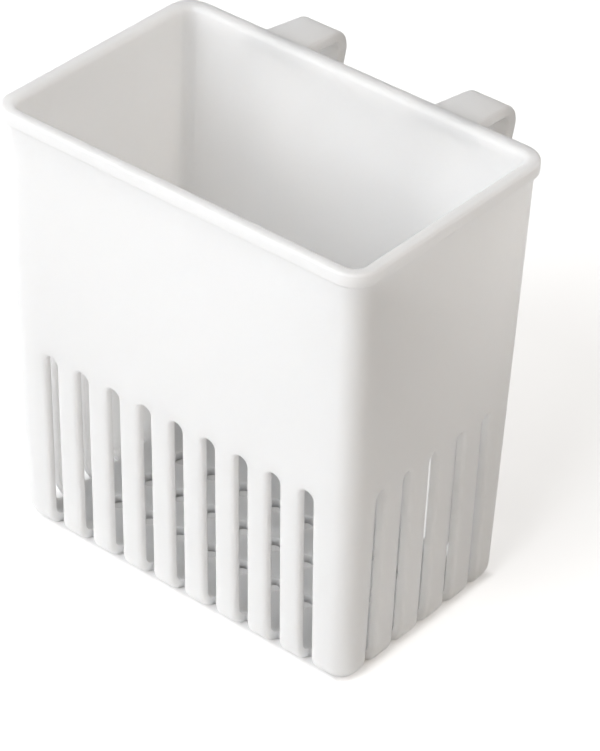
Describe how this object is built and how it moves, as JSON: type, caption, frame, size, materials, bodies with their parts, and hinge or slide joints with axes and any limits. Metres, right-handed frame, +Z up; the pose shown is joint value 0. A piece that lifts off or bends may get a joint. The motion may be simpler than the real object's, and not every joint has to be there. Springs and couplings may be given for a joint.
{
  "type": "cutlery holder",
  "caption": "Tapered open-topped drainer bin with a rim bead, slotted lower walls, a perforated floor and strap hooks at the back for hanging on a rack rail.",
  "frame": {"origin": "middle of the flat underside, on the surface that the bin stands on", "axes": "+Z up, X along the bin's length, -Y to the front, +Y to the back where the hooks are"},
  "size_m": [0.087, 0.0703, 0.095],
  "materials": {
    "moulding": "satin white, smooth moulded surface"
  },
  "bodies": {
    "root": {"rim_bead": "moulding", "wall_band": "moulding", "front_ribs": "moulding", "back_ribs": "moulding", "left_ribs": "moulding", "right_ribs": "moulding", "corner_posts": "moulding", "drain_floor": "moulding", "left_hook": "moulding", "right_hook": "moulding"}
  },
  "joints": []
}
